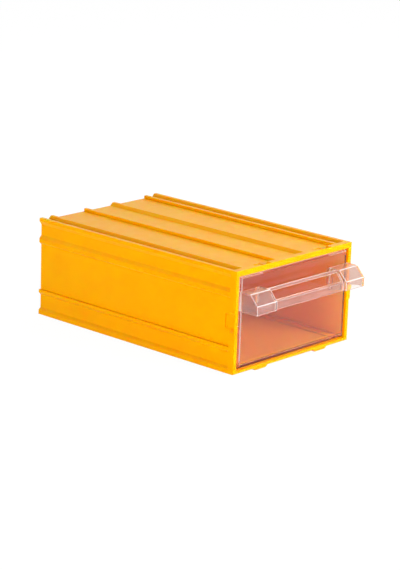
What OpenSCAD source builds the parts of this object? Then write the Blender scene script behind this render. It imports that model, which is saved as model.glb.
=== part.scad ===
// Stackable drawer box: a ribbed casing in one piece, a clear drawer that slides
// out of its front, and a clear handle that hooks into the drawer's front plate.
// Millimetres: X across the front, +Y to the rear, +Z up. The origin is under the
// middle of the whole box, handle and side lug included, where its feet stand.

/* [Casing] */
// Width over the front frame and the side ribs
casing_w = 140; // [120:1:180]
// Depth from the front frame's face to the rear edge
casing_d = 220; // [160:1:300]
// Height over the front frame, without the feet
casing_h = 83; // [80:1:120]
// Width of the front frame's uprights
stile_w = 4; // [3.5:0.1:6]
// Height of the front frame's top bar
top_bar_h = 4.7; // [4.2:0.1:7]
// Thickness of the floor, and height of the front frame's bottom bar
floor_t = 2.3; // [2:0.1:4]
// Depth of the front frame
frame_d = 5.6; // [4:0.1:10]
// Rounding of the front frame's outer edges
frame_edge_r = 0.7; // [0.3:0.1:1.2]
// Thickness of the rear wall
rear_t = 2; // [1.5:0.1:4]

/* [Ribs] */
// Height of the ribs on top
top_rib_h = 2.5; // [1.5:0.1:2.8]
// Height of the ribs on the sides
side_rib_h = 2.2; // [1.2:0.1:2.4]
// Rounding of the ribs' tips
rib_tip_r = 0.5; // [0.2:0.1:0.7]
// Corner rib from the side inwards: its tip, its base
corner_rib_top = [3.5, 5.6]; // [3:0.1:7]
// Corner rib from the top downwards: its tip, its base
corner_rib_side = [2.7, 6.1]; // [2:0.1:7]
// Foot rib from the bottom upwards: its tip, its base
foot_rib = [3.7, 5.45]; // [3:0.1:7]
// Outer rib on top, from the side: base, tip, tip, base
outer_rib = [10.25, 12.6, 15.7, 15.7]; // [9:0.1:18]
// Inner rib on top, from the middle: base, tip, tip, base
inner_rib = [12.5, 15.4, 18.5, 18.5]; // [11:0.1:20]
// Upper rib on a side, from the top: base, tip, tip, base
upper_rib = [14.85, 17.5, 20.8, 22.7]; // [13:0.1:24]
// Lower rib on a side, from the bottom: base, tip, tip, base
lower_rib = [16.6, 19, 21.5, 21.5]; // [15:0.1:23]

/* [Stacking feet, lug and pockets] */
// Distance of the feet from the middle
foot_x = 36.4; // [30:0.1:45]
// Height of the side lug's middle over the bottom
lug_z = 41.5; // [38:0.1:44]
// How far feet and lug stand out
lug_h = 2.5; // [2:0.1:2.7]
// Width at the base, width at the tip
lug_w = [16.5, 10.2]; // [8:0.1:20]
// Distance of a foot's nose from the front, and of its heel
lug_y = [0.8, 11.7]; // [0.8:0.1:14]
// Height of the nose, and how far behind it the full height begins
lug_nose = [1.8, 1.2]; // [0.8:0.1:2.2]
// Play of a foot in its pocket, all round
lug_play = 0.3; // [0.2:0.05:0.5]
// Extra depth of a pocket behind the front frame
pocket_relief = 0.3; // [0.1:0.05:0.4]

/* [Drawer] */
// Thickness of the drawer's walls and floor
tray_t = 2; // [1.5:0.1:3]
// How far the drawer's front lies behind the front frame
front_inset = 0.8; // [0.4:0.1:1.6]
// Gap between the drawer and the casing at the sides and under the floor
tray_gap = 0.7; // [0.4:0.1:1]
// Gap between the drawer's front and the front frame's top bar
tray_top_gap = 1; // [0.6:0.1:2]
// How far the sides and rear of the drawer are lower than its front
tray_side_drop = 4.3; // [3.5:0.1:20]
// Rounding of the drawer front's lower edge
front_low_r = 2.5; // [1:0.1:3]
// Rounding of the drawer front's upright edges
front_side_r = 1.5; // [0.8:0.1:2]
// Rounding of the drawer front's top edge
front_top_r = 0.4; // [0.2:0.1:0.5]
// How far the field on the drawer's front is raised
field_rise = 0.8; // [0.3:0.1:1]
// Margin round the field: at the sides, at the bottom, at the top
field_margin = [2.7, 3.7, 0.9]; // [0.9:0.1:4]
// Rounding inside the drawer, along its floor
inside_r = 3; // [1:0.1:5]
// Width of the runners under the drawer
runner_w = 3; // [2:0.5:6]
// Distance of the runners from the drawer's sides
runner_inset = 7; // [4:0.5:20]
// How far the drawer opens
drawer_travel = 190; // [60:1:190]

/* [Handle] */
// How far the handle stands out in front of the front frame
handle_out = 18.3; // [14:0.1:26]
// Wall thickness of the handle
handle_t = 1.5; // [1.2:0.1:2]
// Height of the handle
handle_h = 15.7; // [14:0.1:18]
// Height of the handle's top face below the top of the casing
handle_drop = 16.5; // [15:0.1:20]
// Height of the handle's upright lip
lip_h = 7.4; // [6:0.1:8]
// Depth of the top face of an end housing
housing_top_d = 10.5; // [9.7:0.1:11.2]
// Width of an end housing
housing_w = 23.2; // [18:0.1:28]
// Rounding of the housings' front edges
handle_edge_r = 0.5; // [0.2:0.1:0.9]
// How far the lip between the housings is set back from theirs
lip_setback = 2.1; // [1:0.1:3]
// Depth and height of the rail between the housings
rail = [2.3, 2.4]; // [1.8:0.1:3]
// Distance of the rail's rear edge from the drawer's front
rail_y = 6.9; // [5.2:0.1:7.2]
// Depth of the ledge on top of the lip between the housings
ledge_d = 2.8; // [2:0.1:3.4]
// Width of the strips that frame the window at either end
strip_w = 1.1; // [0.8:0.1:2]
// Height of the hooks over the handle's lower edge
hook_up = 2.3; // [1.8:0.1:2.5]
// Height of a hook where it passes through the drawer's front
hook_h = 5.5; // [4.5:0.1:6]
// How far a hook reaches down behind the drawer's front, and its thickness
hook = [1.5, 1.5]; // [1:0.1:2]
// Width of a hook, and how far it starts in front of the drawer
hook_root = [1.8, 2.4]; // [1.4:0.1:3.2]
// Height of the tabs above the hooks
tab_h = 2.2; // [1.5:0.1:2.4]
// How far the tabs lie below the handle's top face
tab_drop = 2; // [0:0.1:2]

/* [Hidden] */
$fn = 48;
// Overlap of shapes that are joined or cut through
over = 1;

half_w = casing_w / 2;
// Outer faces of the side panels and of the top panel
panel_x = half_w - side_rib_h;
panel_z = casing_h - top_rib_h;
// The opening of the front frame, which runs on as the inside of the casing
open_x = half_w - stile_w;
ceiling_z = casing_h - top_bar_h;
inner_rear_y = casing_d - rear_t;

// Drawer: half width, bottom, top of the front, top of the sides, front of its
// margin and of its field, back of its front plate, rear
tray_x = open_x - tray_gap;
tray_z = floor_t + tray_gap;
tray_top_z = ceiling_z - tray_top_gap;
side_top_z = tray_top_z - tray_side_drop;
front_y = front_inset;
face_y = front_y - field_rise;
back_y = front_y + tray_t;
tray_rear_y = inner_rear_y;
// Width of the sloping edge round the raised field
field_slope = 0.5;

// The catch on the drawer's rear wall meets the bar under the ceiling when the
// drawer is open as far as it goes
catch_w = 30;
catch_gap = 0.7;
catch_overlap = 0.9;
catch_y = tray_rear_y - tray_t;
stop_d = 2;
stop_y = catch_y - drawer_travel - stop_d;

// Handle: top, bottom, foremost faces and the inner walls of its end housings
handle_z = casing_h - handle_drop;
handle_low_z = handle_z - handle_h;
handle_y = -handle_out;
lip_z = handle_low_z + lip_h;
wall_x = tray_x - housing_w;
middle_y = handle_y + lip_setback;
rail_back_y = face_y - rail_y;
// Hooks and tabs are joined to the inner walls and pass through slots in the
// drawer's front
hook_joint = 0.2;
hook_x = wall_x + handle_t - hook_joint;
slot_play = 0.15;
hook_z = handle_low_z + hook_up;
tab_z = handle_z - tab_drop - tab_h;
// Where the window's strips meet the rail, and the slope of the lip's face
strip_z = handle_z - rail[1] / 2;
lip_draft = 0.1;

// From the front frame's lower middle to the middle of the whole box
place = [-lug_h / 2, (handle_out - casing_d) / 2, lug_h];

// Unit vector, and the unit vector from corner i of an outline to a neighbour
function unit(v) = v / norm(v);
function arm(pts, i, step) =
    unit(pts[(i + step + len(pts)) % len(pts)] - pts[i]);

// Half the angle at a corner
function half_angle(pts, i) = acos(arm(pts, i, 1) * arm(pts, i, -1)) / 2;

// The point inside a corner that lies t from both of its edges
function inset_point(pts, i, t) =
    pts[i] + unit(arm(pts, i, 1) + arm(pts, i, -1)) * t / sin(half_angle(pts, i));

// The two points where an arc of radius r leaves a corner's edges
function arc_ends(pts, i, r) = [for (step = [-1, 1])
    pts[i] + arm(pts, i, step) * r / tan(half_angle(pts, i))];

// An outline whose corner i is rounded with radii[i], or left sharp at 0
module rounded(pts, radii) {
    polygon([for (i = [0 : len(pts) - 1])
        each radii[i] > 0 ? arc_ends(pts, i, radii[i]) : [pts[i]]]);
    for (i = [0 : len(pts) - 1])
        if (radii[i] > 0)
            translate(inset_point(pts, i, radii[i])) circle(r = radii[i]);
}

// A rectangle from one corner to the opposite one, its corners listed
// from the lower left anticlockwise
function corners(a, b) = [a, [b.x, a.y], b, [a.x, b.y]];

// Extrusions of an outline drawn in X and Z, in Y and Z, and in X and Y
module along_y(from, to)
    translate([0, from, 0]) mirror([0, 1, 0]) rotate([90, 0, 0])
        linear_extrude(to - from) children();
module along_x(from, to)
    translate([from, 0, 0]) rotate([90, 0, 90])
        linear_extrude(to - from) children();
module along_z(from, to)
    translate([0, 0, from]) linear_extrude(to - from) children();

// A box between two opposite corners
module block(a, b) translate(a) cube(b - a);

// A shape and its mirror image across the middle
module both_sides() {
    children();
    mirror([1, 0, 0]) children();
}

// The outline of a rib: its base, a tip with rounded corners, and its root
// inside the panel. u runs along the panel and h away from it
module rib(u, height)
    rounded([[u[0], 0], [u[1], height], [u[2], height], [u[3], 0],
             [u[3], -over], [u[0], -over]],
            [0, rib_tip_r, rib_tip_r, 0, 0, 0]);

// The ribs of the right half, as an outline in X and Z
module half_ribs() {
    rounded([[panel_x, 0], [half_w, 0], [half_w, foot_rib[0]],
             [panel_x, foot_rib[1]], [panel_x - over, foot_rib[1]], [panel_x - over, 0]],
            [0, 0, rib_tip_r, 0, 0, 0]);
    rounded([[half_w, casing_h], [half_w - corner_rib_top[0], casing_h],
             [half_w - corner_rib_top[1], panel_z], [open_x, panel_z - over],
             [panel_x - over, casing_h - corner_rib_side[1]],
             [panel_x, casing_h - corner_rib_side[1]],
             [half_w, casing_h - corner_rib_side[0]]],
            [frame_edge_r, rib_tip_r, 0, 0, 0, 0, rib_tip_r]);
    translate([half_w, panel_z]) mirror([1, 0]) rib(outer_rib, top_rib_h);
    translate([0, panel_z]) rib(inner_rib, top_rib_h);
    translate([panel_x, casing_h]) rotate(-90) rib(upper_rib, side_rib_h);
    translate([panel_x, 0]) mirror([1, -1]) rib(lower_rib, side_rib_h);
}

// A foot or lug that points to +Z from the plane Z = 0, nose towards the front.
// play makes it larger all round, relief deeper behind the front frame, and
// root carries it on below the plane
module lug(root, play = 0, relief = 0) {
    base = lug_w[0] / 2 + play;
    tip = lug_w[1] / 2 + play;
    nose_y = lug_y[0] - play;
    heel_y = lug_y[1] + play;
    top = lug_h + play;
    intersection() {
        along_y(0, heel_y + over)
            polygon([[-base, -root], [base, -root], [base, 0], [tip, top],
                     [tip, top + over], [-tip, top + over], [-tip, top], [-base, 0]]);
        along_x(-base, base)
            polygon([[nose_y, -root], [nose_y, lug_nose[0] + play],
                     [nose_y + lug_nose[1], top], [frame_d, top],
                     [frame_d, top + relief], [heel_y - play, top + relief],
                     [heel_y, 0], [heel_y, -root]]);
    }
}

// What a foot or lug of the neighbouring box needs, cut from the plane Z = 0 up
module pocket() lug(over, lug_play, pocket_relief);

// The front frame: a block with rounded outer edges
module front_frame()
    intersection() {
        along_y(0, frame_d)
            rounded(corners([-half_w, 0], [half_w, casing_h]),
                    [for (i = [0 : 3]) frame_edge_r]);
        along_x(-half_w, half_w)
            rounded(corners([0, 0], [frame_d, casing_h]), [frame_edge_r, 0, 0, frame_edge_r]);
        along_z(0, casing_h)
            rounded(corners([-half_w, 0], [half_w, frame_d]), [frame_edge_r, frame_edge_r, 0, 0]);
    }

// Sloping edge round the mouth of the front frame
module mouth_slope() {
    slope = 0.5;
    intersection() {
        along_x(-half_w, half_w)
            polygon([[-over, floor_t - slope - over], [slope, floor_t],
                     [slope, ceiling_z], [-over, ceiling_z + slope + over]]);
        along_z(0, casing_h)
            polygon([[-open_x - slope - over, -over], [open_x + slope + over, -over],
                     [open_x, slope], [-open_x, slope]]);
    }
}

// Casing: floor, walls, ribs, front frame, feet and lug in one piece
module casing() color("orange") translate(place) {
    difference() {
        union() {
            front_frame();
            along_y(frame_edge_r, casing_d) {
                polygon(corners([-panel_x, 0], [panel_x, panel_z]));
                half_ribs();
                mirror([1, 0]) half_ribs();
            }
        }
        block([-open_x, -over, floor_t], [open_x, inner_rear_y, ceiling_z]);
        mouth_slope();
        both_sides()
            translate([foot_x, 0, casing_h]) mirror([0, 0, 1]) pocket();
        translate([-half_w, 0, lug_z]) rotate([0, 90, 0]) pocket();
    }
    both_sides()
        translate([foot_x, 0, 0]) mirror([0, 0, 1]) lug(over);
    both_sides()
        translate([foot_x, casing_d, 0]) mirror([0, 1, 0]) mirror([0, 0, 1]) lug(over);
    translate([half_w, 0, lug_z]) rotate([0, 90, 0]) lug(side_rib_h + over / 2);
    block([-catch_w, stop_y, ceiling_z - catch_gap - catch_overlap],
          [catch_w, stop_y + stop_d, ceiling_z + over]);
}

// The drawer's outer shape, full height
module tray_outside()
    intersection() {
        along_y(front_y, tray_rear_y)
            polygon(corners([-tray_x, tray_z], [tray_x, tray_top_z]));
        along_x(-tray_x, tray_x)
            rounded(corners([front_y, tray_z], [tray_rear_y, tray_top_z]),
                    [front_low_r, 0, 0, front_top_r]);
        along_z(tray_z, tray_top_z)
            rounded(corners([-tray_x, front_y], [tray_x, tray_rear_y]),
                    [front_side_r, front_side_r, 0, 0]);
    }

// The drawer's inside, open at the top
module tray_inside() {
    low = [-tray_x + tray_t, tray_z + tray_t];
    high = [tray_x - tray_t, casing_h];
    intersection() {
        along_y(back_y, catch_y)
            rounded(corners(low, high), [inside_r, inside_r, 0, 0]);
        along_x(low.x, high.x)
            rounded(corners([back_y, low.y], [catch_y, casing_h]),
                    [inside_r, inside_r, 0, 0]);
    }
}

// The raised field on the drawer's front, with sloping edges
module front_field() {
    low = [-tray_x + field_margin[0], tray_z + field_margin[1]];
    high = [tray_x - field_margin[0], tray_top_z - field_margin[2]];
    intersection() {
        along_x(-tray_x, tray_x)
            polygon([[face_y, low.y], [front_y, low.y - field_slope],
                     [front_y + over, low.y - field_slope],
                     [front_y + over, high.y + field_slope],
                     [front_y, high.y + field_slope], [face_y, high.y]]);
        along_z(tray_z, tray_top_z)
            polygon([[low.x, face_y], [high.x, face_y],
                     [high.x + field_slope, front_y], [high.x + field_slope, front_y + over],
                     [low.x - field_slope, front_y + over], [low.x - field_slope, front_y]]);
    }
}

// The slot that a hook or tab at height z enters, h high
module slot(z, h)
    block([hook_x - slot_play, face_y - over, z - slot_play],
          [hook_x + hook_root[0] + slot_play, back_y + over, z + h + slot_play]);

// Drawer: front plate, floor, low sides and rear, runners and catch
module drawer_tray() color("whitesmoke") translate(place) {
    difference() {
        union() {
            tray_outside();
            front_field();
        }
        tray_inside();
        block([-casing_w, back_y, side_top_z], [casing_w, casing_d, casing_h]);
        both_sides() {
            slot(hook_z, hook_h + hook[0]);
            slot(tab_z, tab_h + hook[0]);
        }
    }
    block([-catch_w / 2, catch_y, side_top_z - over],
          [catch_w / 2, tray_rear_y, ceiling_z - catch_gap]);
    both_sides()
        block([tray_x - runner_inset - runner_w, back_y + front_low_r, floor_t],
              [tray_x - runner_inset, tray_rear_y - front_low_r, tray_z + over]);
}

// The side view of an end housing, from its top rear corner forwards and down
housing_side = [[face_y, handle_z], [face_y - housing_top_d, handle_z],
                [handle_y + lip_draft, lip_z], [handle_y, handle_low_z],
                [face_y, handle_low_z]];

// An end housing: a hood open at the bottom and towards the drawer
module housing()
    difference() {
        along_x(wall_x, tray_x)
            rounded(housing_side, [0, handle_edge_r, handle_edge_r, 0, 0]);
        along_x(wall_x + handle_t, tray_x - handle_t)
            polygon([[face_y + over, handle_z - handle_t],
                     inset_point(housing_side, 1, handle_t),
                     inset_point(housing_side, 2, handle_t),
                     [handle_y + handle_t, handle_low_z - over],
                     [face_y + over, handle_low_z - over]]);
    }

// A hook that drops behind the drawer's front, and a tab above it
module hooks() {
    near = [hook_x, face_y - hook_root[1]];
    far = [hook_x + hook_root[0], back_y + slot_play + hook[1]];
    block([near.x, near.y, hook_z], [far.x, far.y, hook_z + hook_h]);
    block([near.x, near.y, tab_z], [far.x, far.y, tab_z + tab_h]);
    block([near.x, far.y - hook[1], hook_z - hook[0]], [far.x, far.y, hook_z + over]);
}

// Lip and rail between the housings, and the strips that frame the window
module middle() {
    rail_front_y = rail_back_y - rail[0];
    ledge_y = middle_y + ledge_d;
    along_x(-wall_x - over / 2, wall_x + over / 2) {
        rounded(corners([rail_front_y, handle_z - rail[1]], [rail_back_y, handle_z]),
                [for (i = [0 : 3]) handle_edge_r]);
        polygon(corners([middle_y, handle_low_z], [middle_y + handle_t, lip_z]));
        rounded(corners([middle_y, lip_z - handle_t], [ledge_y, lip_z]),
                [0, 0, handle_edge_r, handle_edge_r]);
    }
    both_sides()
        along_x(wall_x - strip_w, wall_x + over / 2)
            polygon([[rail_front_y, strip_z], [ledge_y - handle_t, lip_z - over / 2],
                     [ledge_y, lip_z - over / 2], [rail_front_y + handle_t, strip_z]]);
}

// Handle: two housings with their hooks, and the middle between them
module handle() color("gainsboro") translate(place) {
    both_sides() {
        housing();
        hooks();
    }
    middle();
}

casing();
drawer_tray();
handle();
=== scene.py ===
import math

import bmesh
import bpy
from mathutils import Matrix, Vector


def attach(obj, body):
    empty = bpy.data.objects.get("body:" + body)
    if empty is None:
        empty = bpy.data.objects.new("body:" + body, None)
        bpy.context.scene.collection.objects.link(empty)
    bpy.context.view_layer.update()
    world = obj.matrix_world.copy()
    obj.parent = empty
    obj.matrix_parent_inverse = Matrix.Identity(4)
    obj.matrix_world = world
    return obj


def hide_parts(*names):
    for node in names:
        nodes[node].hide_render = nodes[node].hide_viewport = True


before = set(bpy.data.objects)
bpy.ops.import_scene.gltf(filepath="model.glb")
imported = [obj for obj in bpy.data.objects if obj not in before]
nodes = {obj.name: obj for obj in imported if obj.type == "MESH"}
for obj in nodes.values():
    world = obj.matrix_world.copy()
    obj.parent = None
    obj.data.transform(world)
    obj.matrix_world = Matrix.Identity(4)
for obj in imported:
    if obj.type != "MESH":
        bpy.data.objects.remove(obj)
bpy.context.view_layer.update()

MM = 0.001

# Camera: where it stands, its direction as azimuth and elevation, its roll, and
# its focal length in pixels of the 400 x 570 image
CAMERA_PLACE = (-1.24175, -1.13011, 0.51644)
CAMERA_AZIMUTH = -47.656
CAMERA_ELEVATION = 15.839
CAMERA_ROLL = 1.9245
FOCAL_PIXELS = 2119.8
IMAGE_HEIGHT = 570
SENSOR = 36.0

# Width of the handle's end housings, as in the part's source
HOUSING_WIDTH = 23.2 * MM

# Rounding of the edges of casing and drawer, and half the width of the painted pale
# highlights along the creases of the handle's housings
EDGE_ROUNDING = 0.25 * MM
CREASE_HALF = 0.5 * MM

# Depth of the drawer's part whose edges carry painted reddish shade, counted from its
# front, and how far inside the drawer's outline edges are still rounded
PLATE_DEPTH = 3 * MM
RIM = 5 * MM

# Width of the margin of painted reddish shade round the field on the drawer's front:
# at the sides, at the bottom, at the top
FIELD_MARGIN = (2.2 * MM, 3.2 * MM, 0.6 * MM)

# Half the length and the height of the painted dark shade along the front's top edge
TOP_EDGE_HALF = 40 * MM
TOP_EDGE_HEIGHT = 1.3 * MM

# The casing's inside is painted a deeper yellow, painted light for what reaches it only
# through the plastic: fully from this far behind the drawer's front, fading over this
# stretch in front of it, and this far out from the drawer
PAINTED_CAVITY_START = 18 * MM
PAINTED_CAVITY_FADE = 16 * MM
PAINTED_CAVITY_WALL = 1.2 * MM

# Turns inside clear plastic after which a ray of light goes straight on: in the
# drawer, and in the handle
DEEP = 7.5
GRIP_DEEP = 2.5

# Reflections inside clear plastic after which it counts as trapped
TRAPPED = 2.5


# ---------------------------------------------------------------- materials

def material(name):
    """A new material and its Principled shader."""
    made = bpy.data.materials.new(name)
    made.use_nodes = True
    return made, made.node_tree.nodes["Principled BSDF"]


def add_node(tree, kind, inputs=(), **settings):
    """A shader node with some of its sockets and settings filled in."""
    node = tree.nodes.new(kind)
    for key, value in settings.items():
        setattr(node, key, value)
    for socket, value in dict(inputs).items():
        node.inputs[socket].default_value = value
    return node


def combine(tree, operation, first, second):
    """Two outputs put together by a Math node and clamped to the range 0 to 1."""
    made = add_node(tree, "ShaderNodeMath", operation=operation, use_clamp=True)
    tree.links.new(first, made.inputs[0])
    tree.links.new(second, made.inputs[1])
    return made.outputs[0]


def most_of(tree, outputs):
    """The greatest of several outputs."""
    most = outputs[0]
    for output in outputs[1:]:
        greater = add_node(tree, "ShaderNodeMath", operation="MAXIMUM")
        tree.links.new(most, greater.inputs[0])
        tree.links.new(output, greater.inputs[1])
        most = greater.outputs[0]
    return most


def mix_into(tree, output_node, factor, first, second):
    """Mix two shaders and join the result to the tree's output node."""
    mix = add_node(tree, "ShaderNodeMixShader")
    tree.links.new(factor, mix.inputs[0])
    tree.links.new(first.outputs[0], mix.inputs[1])
    tree.links.new(second.outputs[0], mix.inputs[2])
    tree.links.new(mix.outputs[0], tree.nodes[output_node].inputs["Surface"])


def noise(tree, size, detail=2.0):
    """Noise whose patches are about size metres across, fixed to the object."""
    place = add_node(tree, "ShaderNodeTexCoord")
    made = add_node(tree, "ShaderNodeTexNoise", {"Scale": 1 / size, "Detail": detail})
    tree.links.new(place.outputs["Object"], made.inputs["Vector"])
    return made.outputs["Fac"]


def spread(tree, value, low, high):
    """A value from 0 to 1 moved to the range low to high."""
    made = add_node(tree, "ShaderNodeMapRange", {"To Min": low, "To Max": high,
                                                 "From Min": 0.3, "From Max": 0.7})
    tree.links.new(value, made.inputs["Value"])
    return made.outputs["Result"]


def bump(tree, shader, layers):
    """Bumps on a shader's surface, each layer (height output, depth in metres)."""
    before = None
    for height, depth in layers:
        made = add_node(tree, "ShaderNodeBump", {"Strength": 1.0, "Distance": depth})
        tree.links.new(height, made.inputs["Height"])
        if before:
            tree.links.new(before, made.inputs["Normal"])
        before = made.outputs["Normal"]
    tree.links.new(before, shader.inputs["Normal"])


def blend(tree, factor, first, second):
    """A colour between two others, each a colour or an output."""
    mix = add_node(tree, "ShaderNodeMix", data_type="RGBA")
    tree.links.new(factor, mix.inputs["Factor"])
    for socket, colour in (("A", first), ("B", second)):
        if isinstance(colour, tuple):
            mix.inputs[socket].default_value = (*colour, 1)
        else:
            tree.links.new(colour, mix.inputs[socket])
    return mix.outputs["Result"]


def inside_box(tree, low, high, soft):
    """1 inside the box from low to high, falling to 0 over soft metres outside."""
    place = add_node(tree, "ShaderNodeTexCoord").outputs["Object"]
    low, high = Vector(low), Vector(high)
    for operation, operand in (("SUBTRACT", (low + high) / 2), ("ABSOLUTE", None),
                               ("SUBTRACT", (high - low) / 2)):
        step = add_node(tree, "ShaderNodeVectorMath", operation=operation)
        tree.links.new(place, step.inputs[0])
        if operand:
            step.inputs[1].default_value = operand
        place = step.outputs[0]
    parts = add_node(tree, "ShaderNodeSeparateXYZ")
    tree.links.new(place, parts.inputs[0])
    most = most_of(tree, [parts.outputs[axis] for axis in "XYZ"])
    share = add_node(tree, "ShaderNodeMapRange", {"From Min": 0.0, "From Max": soft,
                                                  "To Min": 1.0, "To Max": 0.0})
    tree.links.new(most, share.inputs["Value"])
    return share.outputs["Result"]


def casing_plastic(cavity):
    """Opaque yellow plastic from a finely textured mould, its cavity painted a deeper orange
    as painted inter-reflected light.
    """
    made, shader = material("casing_plastic")
    tree = made.node_tree
    outside = blend(tree, spread(tree, noise(tree, 22 * MM), 0, 1),
                    (0.88, 0.39, 0.0), (0.9, 0.42, 0.0))
    # painted light: a deeper orange on the cavity's faces, which are lit only through the
    # plastic
    inside = blend(tree, spread(tree, noise(tree, 30 * MM), 0, 1),
                   (0.98, 0.31, 0.0), (0.99, 0.35, 0.0))
    low, high = cavity
    within = inside_box(tree, (low.x, low.y + PAINTED_CAVITY_START, low.z), high, PAINTED_CAVITY_FADE)
    walls = inside_box(tree, low, high, PAINTED_CAVITY_WALL)
    both = combine(tree, "MULTIPLY", within, walls)
    tree.links.new(blend(tree, both, outside, inside), shader.inputs["Base Color"])
    tree.links.new(spread(tree, noise(tree, 9 * MM), 0.36, 0.44), shader.inputs["Roughness"])
    shader.inputs["IOR"].default_value = 1.32
    shader.inputs["Specular Tint"].default_value = (1.0, 0.6, 0.0, 1)
    shader.inputs["Subsurface Weight"].default_value = 1.0
    shader.inputs["Subsurface Radius"].default_value = (1.0, 0.25, 0.02)
    shader.inputs["Subsurface Scale"].default_value = 1.2 * MM
    bump(tree, shader, [(noise(tree, 0.35 * MM, 4.0), 0.012 * MM),
                        (noise(tree, 12 * MM), 0.05 * MM)])
    return made


def compare(tree, output, limit):
    """1 where an output is above a limit."""
    above = add_node(tree, "ShaderNodeMath", {1: limit}, operation="GREATER_THAN")
    tree.links.new(output, above.inputs[0])
    return above.outputs[0]


def lets_light_through(tree, shader, trapped, deep):
    """Let lamps, and rays turned more than deep times or reflected inside, straight
    through a clear shader. The rays take the colour trapped where they leave, a painted shade."""
    path = add_node(tree, "ShaderNodeLightPath")
    turned = most_of(tree, [compare(tree, path.outputs["Glossy Depth"], TRAPPED),
                            compare(tree, path.outputs["Ray Depth"], deep)])
    leaving = turned
    for untinted in (path.outputs["Is Shadow Ray"],
                     compare(tree, path.outputs["Transparent Depth"], 0.5)):
        leaving = combine(tree, "SUBTRACT", leaving, untinted)
    straight = add_node(tree, "ShaderNodeBsdfTransparent")
    tree.links.new(blend(tree, leaving, (1.0, 1.0, 1.0), trapped), straight.inputs["Color"])
    passing = most_of(tree, [path.outputs["Is Shadow Ray"], turned])
    mix_into(tree, "Material Output", passing, shader, straight)


def clear_plastic(name, tint, clear, rough, wave, ior, trapped, layers=(), deep=DEEP):
    """Clear moulded plastic: slightly wavy, its gloss a little uneven. Each layer is
    a box and the colour inside it, or None for the plain colour again."""
    made, shader = material(name)
    tree = made.node_tree
    plain = blend(tree, spread(tree, noise(tree, 15 * MM), 0, 0.5), tint, (1, 1, 1))
    colour = plain
    for (low, high), inner in layers:
        colour = blend(tree, inside_box(tree, low, high, 0.2 * MM), colour, inner or plain)
    tree.links.new(colour, shader.inputs["Base Color"])
    tree.links.new(spread(tree, noise(tree, 6 * MM), rough * 0.7, rough * 1.3),
                   shader.inputs["Roughness"])
    shader.inputs["IOR"].default_value = ior
    shader.inputs["Transmission Weight"].default_value = clear
    bump(tree, shader, [(noise(tree, 14 * MM), wave)])
    lets_light_through(tree, shader, trapped, deep)
    return made


def reach(node):
    """The corners of a CAD node's box."""
    corners = [Vector(corner) for corner in nodes[node].bound_box]
    return (Vector(min(c[i] for c in corners) for i in range(3)),
            Vector(max(c[i] for c in corners) for i in range(3)))


def cut_along(shape, low, high):
    """Cut the mesh along the sides of the box from low to high: all faces along the
    sides that look along X, and along the others those whose middle lies between."""
    for axis in range(3):
        for place in (low[axis], high[axis]):
            near = [face for face in shape.faces
                    if low.x < face.calc_center_median().x < high.x or axis == 0]
            lines = {line for face in near for line in face.edges}
            corners = {vert for face in near for vert in face.verts}
            point, across = Vector(), Vector()
            point[axis], across[axis] = place, 1
            bmesh.ops.bisect_plane(shape, geom=[*corners, *lines, *near],
                                   plane_co=point, plane_no=across)


def dress(node, body, made, edge, sharp, behind=1.0, rim=1.0, creases=()):
    """Stand a piece in for a CAD node, its edges of more than sharp degrees rounded
    with the radius edge, apart from those behind Y = behind or more than rim inside
    its outline. Of the materials made, the second goes on these roundings and on
    the parts of faces inside the boxes creases that do not face sideways, the third
    on faces behind."""
    low, high = reach(node)
    mesh = nodes[node].data.copy()
    mesh.materials.clear()
    for finish in made:
        mesh.materials.append(finish)
    shape = bmesh.new()
    shape.from_mesh(mesh)
    bmesh.ops.remove_doubles(shape, verts=shape.verts, dist=0.002 * MM)
    bmesh.ops.dissolve_limit(shape, angle_limit=math.radians(0.5),
                             verts=shape.verts, edges=shape.edges)
    for box in creases:
        cut_along(shape, *box)
    weight = shape.edges.layers.float.new("bevel_weight_edge")
    for line in shape.edges:
        front = min(vert.co.y for vert in line.verts) < behind and any(
            min(vert.co[i] - low[i], high[i] - vert.co[i]) < rim
            for vert in line.verts for i in (0, 2))
        turned = len(line.link_faces) == 2 and line.calc_face_angle() > math.radians(sharp)
        line[weight] = 1.0 if front and turned else 0.0
    for face in shape.faces:
        middle = face.calc_center_median()
        creased = abs(face.normal.x) < 0.5 and any(
            all(box[0][i] < middle[i] < box[1][i] for i in range(3)) for box in creases)
        back = min(vert.co.y for vert in face.verts) > behind
        face.material_index = 1 if creased else 2 * back
    shape.to_mesh(mesh)
    shape.free()
    mesh.shade_smooth()
    mesh.set_sharp_from_angle(angle=math.radians(sharp))
    piece = bpy.data.objects.new(node + "_piece", mesh)
    bpy.context.collection.objects.link(piece)
    if edge:
        rounding = piece.modifiers.new("rounded edges", "BEVEL")
        rounding.width = edge
        rounding.segments = 2
        rounding.limit_method = "WEIGHT"
        rounding.harden_normals = True
        rounding.material = 1
        weighted = piece.modifiers.new("even faces", "WEIGHTED_NORMAL")
        weighted.keep_sharp = True
    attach(piece, body)
    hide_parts(node)
    return piece


def grip_creases(half):
    """Boxes around the creases of the handle's housings, half metres to each side:
    above and below the slanted fronts, and at both ends of each housing."""
    low, high = reach("handle")
    places = [vert.co for vert in nodes["handle"].data.vertices]
    top_y = min(p.y for p in places if p.z > high.z - 0.02 * MM)
    lip_z = max(p.z for p in places if p.y < low.y + 0.3 * MM)
    around = Vector((0, half, half))
    boxes = []
    for side in (Vector((low.x, 0, 0)), Vector((high.x - HOUSING_WIDTH, 0, 0))):
        width = Vector((HOUSING_WIDTH, 0, 0))
        for y, z in ((top_y, high.z), (low.y, lip_z)):
            line = side + Vector((0, y, z))
            boxes.append((line - around, line + width + around))
        for end in (side, side + width):
            boxes.append((end + Vector((-half, low.y - half, low.z - half)),
                          end + Vector((half, top_y, high.z + half))))
    return boxes


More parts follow.
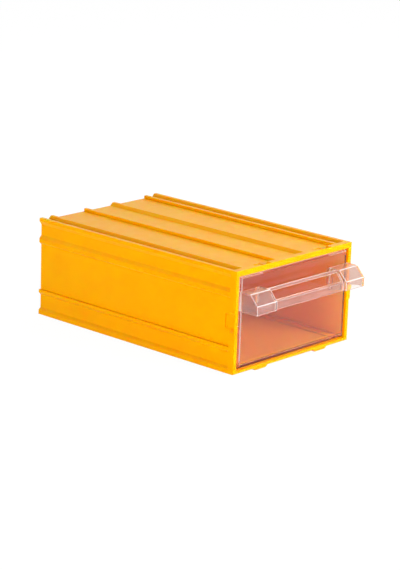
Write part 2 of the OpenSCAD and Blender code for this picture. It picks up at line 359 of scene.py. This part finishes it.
tray_low, tray_high = reach("drawer_tray")
side, bottom, top = FIELD_MARGIN
# painted shade: the front plate's margin round the field, and its edges, are coloured reddish
# and dark for the dark gap to the casing seen through them
plate_shade_box = (tray_low - Vector((1, 1, 1)) * MM,
         Vector((tray_high.x, tray_low.y + PLATE_DEPTH, tray_high.z)) + Vector((1, 0, 1)) * MM)
field = (tray_low + Vector((side, -1 * MM, bottom)), tray_high - Vector((side, 0, top)))
# painted shade: a dark red stretch in the middle of the front's top edge, under the frame's
# top bar
top_edge_shade = (Vector((-TOP_EDGE_HALF, plate_shade_box[0].y, tray_high.z - TOP_EDGE_HEIGHT)),
            Vector((TOP_EDGE_HALF, plate_shade_box[1].y, plate_shade_box[1].z)))
yellow = casing_plastic((tray_low, tray_high))
# painted shade: rays trapped in the clear plastic leave reddish and darker, for the dark
# casing its edges would show
trapped = (0.72, 0.4, 0.36)
tray = clear_plastic("clear_plastic", tint=(0.98, 0.96, 0.96), clear=0.99, rough=0.03,
                     wave=0.05 * MM, ior=1.32, trapped=trapped,
                     layers=[(plate_shade_box, (0.85, 0.48, 0.46)), (field, None),
                             (top_edge_shade, (0.6, 0.18, 0.12))])
# painted highlight and shade: pale, half-opaque roundings for the bright edge lines, dark red
# on the plate's outer edges and top for painted shade
tray_edge_highlight_shade = clear_plastic("clear_edge_highlight_shade", tint=(0.95, 0.75, 0.68), clear=0.4, rough=0.2,
                          wave=0.05 * MM, ior=1.32, trapped=trapped,
                          layers=[(plate_shade_box, (0.5, 0.06, 0.02)), (field, None),
                                  (top_edge_shade, (0.4, 0.03, 0.01))])
tray_inside = clear_plastic("clear_inside", tint=(0.95, 0.92, 0.9), clear=0.995, rough=0.12,
                            wave=0.05 * MM, ior=1.32, trapped=(0.8, 0.66, 0.62))
grip = clear_plastic("handle_plastic", tint=(0.84, 0.75, 0.7), clear=0.935, rough=0.1,
                     wave=0.02 * MM, ior=1.25, trapped=(0.75, 0.5, 0.42), deep=GRIP_DEEP)
# painted highlight: a pale, half-opaque material on the handle's creases for their bright
# lines
grip_edge_highlight = clear_plastic("handle_edge_highlight", tint=(1.0, 0.93, 0.9), clear=0.55, rough=0.2,
                          wave=0.02 * MM, ior=1.25, trapped=(0.75, 0.5, 0.42), deep=GRIP_DEEP)
dress("casing", "casing", [yellow, yellow], edge=EDGE_ROUNDING, sharp=24)
clear = [dress("drawer_tray", "drawer", [tray, tray_edge_highlight_shade, tray_inside],
               edge=EDGE_ROUNDING, sharp=50, behind=tray_low.y + 1 * MM, rim=RIM),
         dress("handle", "drawer", [grip, grip_edge_highlight, grip],
               edge=0, sharp=4, creases=grip_creases(CREASE_HALF))]
for piece in clear:
    piece.visible_diffuse = False


# ------------------------------------------------- floor, background, light

def seen_directly(tree):
    """1 for rays from the camera or off and through shiny surfaces."""
    path = add_node(tree, "ShaderNodeLightPath")
    total = path.outputs["Is Camera Ray"]
    for name in ("Is Glossy Ray", "Is Transmission Ray"):
        total = combine(tree, "ADD", total, path.outputs[name])
    return total


def pale_floor(size, paleness, shadow_share, glow):
    """A floor that lights the object as paleness says and is seen white:
    shadow_share of what is seen takes shadows, and glow makes up the white."""
    half = size / 2
    mesh = bpy.data.meshes.new("floor")
    mesh.from_pydata([(-half, -half, 0), (half, -half, 0), (half, half, 0), (-half, half, 0)],
                     [], [(0, 1, 2, 3)])
    floor = bpy.data.objects.new("floor", mesh)
    bpy.context.collection.objects.link(floor)
    made, shader = material("floor")
    tree = made.node_tree
    tree.nodes.remove(shader)
    lit = add_node(tree, "ShaderNodeBsdfDiffuse", {"Color": (paleness, paleness, paleness, 1)})
    faint = add_node(tree, "ShaderNodeBsdfDiffuse",
                     {"Color": (shadow_share, shadow_share, shadow_share, 1)})
    white = add_node(tree, "ShaderNodeEmission", {"Color": (1, 1, 1, 1), "Strength": glow})
    seen = add_node(tree, "ShaderNodeAddShader")
    tree.links.new(faint.outputs[0], seen.inputs[0])
    tree.links.new(white.outputs[0], seen.inputs[1])
    mix_into(tree, "Material Output", seen_directly(tree), lit, seen)
    mesh.materials.append(made)


def white_world(strength):
    """Even light of this strength, which is seen as plain white."""
    world = bpy.data.worlds.new("studio")
    world.use_nodes = True
    bpy.context.scene.world = world
    tree = world.node_tree
    even = tree.nodes["Background"]
    even.inputs["Color"].default_value = (1, 1, 1, 1)
    even.inputs["Strength"].default_value = strength
    white = add_node(tree, "ShaderNodeBackground", {"Color": (1, 1, 1, 1), "Strength": 1.0})
    mix_into(tree, "World Output", seen_directly(tree), even, white)


def soft_lamp(name, toward, distance, size, power):
    """A square lamp in the given direction from the object, facing it."""
    light = bpy.data.lights.new(name, "AREA")
    light.shape = "SQUARE"
    light.size = size
    light.energy = power
    lamp = bpy.data.objects.new(name, light)
    bpy.context.collection.objects.link(lamp)
    direction = Vector(toward).normalized()
    lamp.location = direction * distance
    lamp.rotation_euler = direction.to_track_quat("Z", "Y").to_euler()


pale_floor(size=6.0, paleness=0.95, shadow_share=0.06, glow=0.97)
white_world(0.33)
soft_lamp("front", toward=(0.3, -0.84, 0.42), distance=1.6, size=0.9, power=31.5)
soft_lamp("top", toward=(0.5, 0.1, 0.8), distance=1.6, size=0.8, power=6)
soft_lamp("side", toward=(-0.98, -0.08, 0.19), distance=1.6, size=0.6, power=13.5)


# ------------------------------------------------------------------- camera

def photo_camera():
    """The camera at the photograph's viewing angle."""
    azimuth = math.radians(CAMERA_AZIMUTH)
    elevation = math.radians(CAMERA_ELEVATION)
    roll = math.radians(CAMERA_ROLL)
    back = Vector((math.sin(azimuth) * math.cos(elevation),
                   -math.cos(azimuth) * math.cos(elevation), math.sin(elevation)))
    level = Vector((math.cos(azimuth), math.sin(azimuth), 0))
    upright = back.cross(level)
    right = level * math.cos(roll) + upright * math.sin(roll)
    up = upright * math.cos(roll) - level * math.sin(roll)
    data = bpy.data.cameras.new("camera")
    data.sensor_width = SENSOR
    data.lens = FOCAL_PIXELS / IMAGE_HEIGHT * SENSOR
    data.clip_start = 0.01
    camera = bpy.data.objects.new("camera", data)
    bpy.context.collection.objects.link(camera)
    turn = Matrix((right, up, back)).transposed().to_4x4()
    camera.matrix_world = Matrix.Translation(CAMERA_PLACE) @ turn
    bpy.context.scene.camera = camera


photo_camera()
bpy.context.scene.view_settings.view_transform = "Standard"
